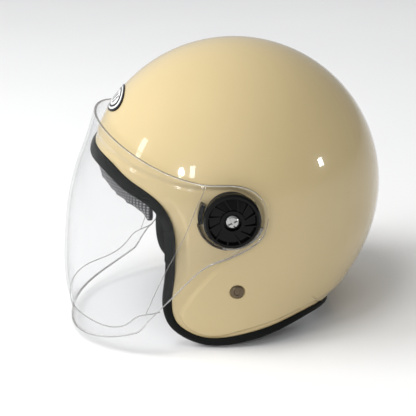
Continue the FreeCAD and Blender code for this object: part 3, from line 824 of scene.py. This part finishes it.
# ---- padded lining -------------------------------------------------------------
def rough_pad(node, voxel):
    """Copy of a frame node, remeshed into an even skin of small faces."""
    obj = bpy.data.objects.new(node + "_soft", NODES[node].data.copy())
    bpy.context.collection.objects.link(obj)
    remesh = obj.modifiers.new("remesh", "REMESH")
    remesh.mode, remesh.voxel_size = "VOXEL", voxel
    apply_modifiers(obj)
    return obj


def apply_modifiers(obj):
    depsgraph = bpy.context.evaluated_depsgraph_get()
    mesh = bpy.data.meshes.new_from_object(obj.evaluated_get(depsgraph))
    obj.modifiers.clear()
    obj.data = mesh


def read_points(obj):
    flat = np.empty(len(obj.data.vertices) * 3)
    obj.data.vertices.foreach_get("co", flat)
    return flat.reshape(-1, 3)


def inflate(objects):
    """Blow all the pads up together with a short cloth simulation."""
    for obj in objects:
        cloth = obj.modifiers.new("cloth", "CLOTH").settings
        cloth.use_pressure, cloth.uniform_pressure_force = True, 4.0
        cloth.effector_weights.gravity = 0
        cloth.quality = 4
        cloth.tension_stiffness = cloth.compression_stiffness = 20
    for frame_number in range(1, 21):
        bpy.context.scene.frame_set(frame_number)
    for obj in objects:
        apply_modifiers(obj)


PADS = {"crown_liner": (0.0045, LINING, "padding", (-62, -30, 0, 30, 62)),
        "brow_pad": (0.0040, MESH, "mesh", ()),
        "neck_roll": (0.0040, LINING, "padding", (-34, 34)),
        "cheek_pad_left": (0.0040, LINING, "padding", ()),
        "cheek_pad_right": (0.0040, LINING, "padding", ())}


def settle(obj, before, seams):
    """Keep the swelling on the head's side, at most 3 mm, and press in the sewn seams."""
    after = read_points(obj)
    inward = CENTRE * MM - before
    inward /= np.linalg.norm(inward, axis=1, keepdims=True)
    move = after - before
    outward = np.minimum((move * inward).sum(1, keepdims=True), 0)
    move = move - inward * outward
    size = np.linalg.norm(move, axis=1, keepdims=True)
    move *= np.minimum(1, 0.003 / np.maximum(size, 1e-9))
    depth = np.zeros(len(before))
    for x in seams:
        depth += 0.0014 * np.exp(-((before[:, 0] - x * MM) / 0.0025) ** 2)
    distance = np.linalg.norm(CENTRE * MM - before, axis=1)
    facing_head = distance < np.median(distance)
    before = before + move - inward * (depth * facing_head)[:, None]
    obj.data.vertices.foreach_set("co", before.ravel())


pads = {node: rough_pad(node, PADS[node][0]) for node in PADS}
starts = {node: read_points(obj) for node, obj in pads.items()}
inflate(list(pads.values()))
for node, obj in pads.items():
    settle(obj, starts[node], PADS[node][3])
    obj.modifiers.new("round", "SUBSURF").levels = 1
    apply_modifiers(obj)
    obj.data.shade_smooth()
    finish(obj, PADS[node][1], "helmet", node)

# ---- carried-over nodes --------------------------------------------------------
repaint(both("pivot_cap"), GLOSS_BLACK)
repaint(both("pivot_screw") + ["buckle_tongue", "lever_pin", "lever_spring"], STEEL)
repaint(both("strap_rivet") + both("pivot_nut") + both("rivet_washer")
        + both("strap_anchor"), ZINC)
repaint(both("pivot_base") + ["buckle_housing", "buckle_lever"], MATTE_BLACK)
repaint(["trim_sleeve"], RUBBER)
repaint(["eps_liner"], FOAM)

# ---- camera --------------------------------------------------------------------
BACK = Vector((0.94192, -0.05950, 0.33051)).normalized()
RIGHT = Vector((0.08716, 0.99377, -0.06949))
RIGHT = (RIGHT - BACK * RIGHT.dot(BACK)).normalized()
UP = BACK.cross(RIGHT)
data = bpy.data.cameras.new("camera")
camera = bpy.data.objects.new("camera", data)
bpy.context.collection.objects.link(camera)
target = Vector(CENTRE * MM)
placing = Matrix((RIGHT, UP, BACK)).transposed().to_4x4()
placing.translation = target + BACK * 1.2
camera.matrix_world = placing
data.lens = 113.2
data.shift_x, data.shift_y = -0.0606, -0.0638
data.clip_start, data.clip_end = 0.05, 30
bpy.context.scene.camera = camera

# ---- floor and light -----------------------------------------------------------
def floor_material():
    m, nodes, links, shader = material("floor")
    grain = noise(nodes, links, 3.0, 2)
    mix = ramp(nodes, links, grain.outputs["Fac"],
               [(0.3, (0.86, 0.86, 0.86)), (0.7, (0.88, 0.88, 0.88))])
    links.new(mix.outputs["Color"], shader.inputs["Base Color"])
    shader.inputs["Roughness"].default_value = 0.9
    return m


bpy.ops.mesh.primitive_plane_add(size=14, location=(0, 0, 0))
floor = bpy.context.object
floor.name = "floor"
floor.data.materials.append(floor_material())

FRONT_GLOW, REAR_GLOW = 0.86, 0.25      # strength of the sky ahead and behind
world = bpy.data.worlds.new("world")
bpy.context.scene.world = world
world.use_nodes = True
background = world.node_tree.nodes["Background"]
background.inputs["Color"].default_value = (0.98, 0.99, 1.0, 1)
w_nodes, w_links = world.node_tree.nodes, world.node_tree.links
toward = w_nodes.new("ShaderNodeTexCoord")
axes = w_nodes.new("ShaderNodeSeparateXYZ")
w_links.new(toward.outputs["Generated"], axes.inputs[0])
w_links.new(span(w_nodes, w_links, axes.outputs["Y"], FRONT_GLOW, REAR_GLOW, -0.9, 0.8),
            background.inputs["Strength"])
bpy.context.scene.view_settings.view_transform = "Standard"


def area(name, place, size, power, mirrored=True, round_=False):
    """Soft light aimed at the middle of the helmet."""
    light = bpy.data.lights.new(name, "AREA")
    light.shape, light.size, light.size_y = "ELLIPSE" if round_ else "RECTANGLE", *size
    light.energy = power
    obj = bpy.data.objects.new(name, light)
    bpy.context.collection.objects.link(obj)
    obj.location = place
    aim = Vector((0, 0, 0.13)) - Vector(place)
    obj.rotation_euler = aim.to_track_quat("-Z", "Y").to_euler()
    obj.visible_glossy = mirrored


area("key", (-0.1, -1.9, 1.6), (1.1, 1.1), 37, mirrored=False)
area("top", (0.5, -0.5, 2.1), (0.8, 0.8), 15, mirrored=False)
area("round_glint", (1.20, -0.96, 0.61), (0.13, 0.19), 1.8, round_=True)
area("window_bar", (1.32, -0.77, 0.64), (0.10, 0.22), 1.0)
area("window_front", (0.26, -1.42, 0.80), (0.14, 0.34), 1.3)
area("window_rear", (0.70, 1.43, 0.40), (0.12, 0.14), 1.3)
